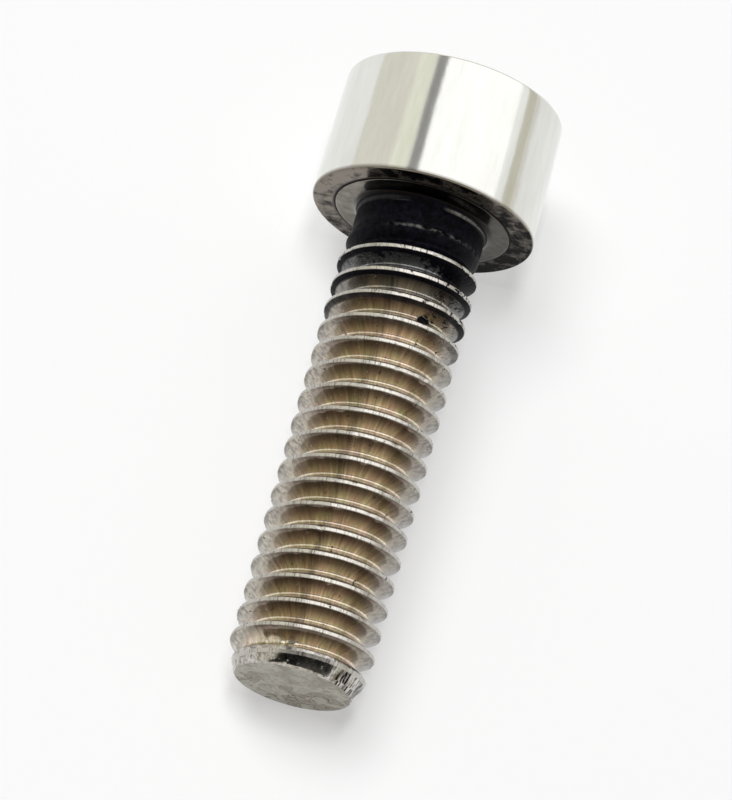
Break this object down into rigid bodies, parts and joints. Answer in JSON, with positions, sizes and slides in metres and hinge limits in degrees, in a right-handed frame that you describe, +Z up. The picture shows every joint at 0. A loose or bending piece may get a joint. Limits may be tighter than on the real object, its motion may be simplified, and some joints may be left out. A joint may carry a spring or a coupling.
{
  "type": "hex socket cap screw",
  "caption": "Hex socket cap screw with a tall polished round head, a plain neck and a right-hand thread down to its tapered tip, lying on its side.",
  "frame": {"origin": "centre of the resting screw's box, on the surface that it lies on", "axes": "+Z up, +Y along the screw from its tip towards its head; its axis rises 5 degrees from tip to head, because head edge and thread both touch the surface"},
  "size_m": [0.0126, 0.0364, 0.0131],
  "materials": {
    "screw_steel": "bright polished head, thread stained brown, black residue under the head"
  },
  "bodies": {
    "root": {"cap_screw": "screw_steel"}
  },
  "joints": []
}
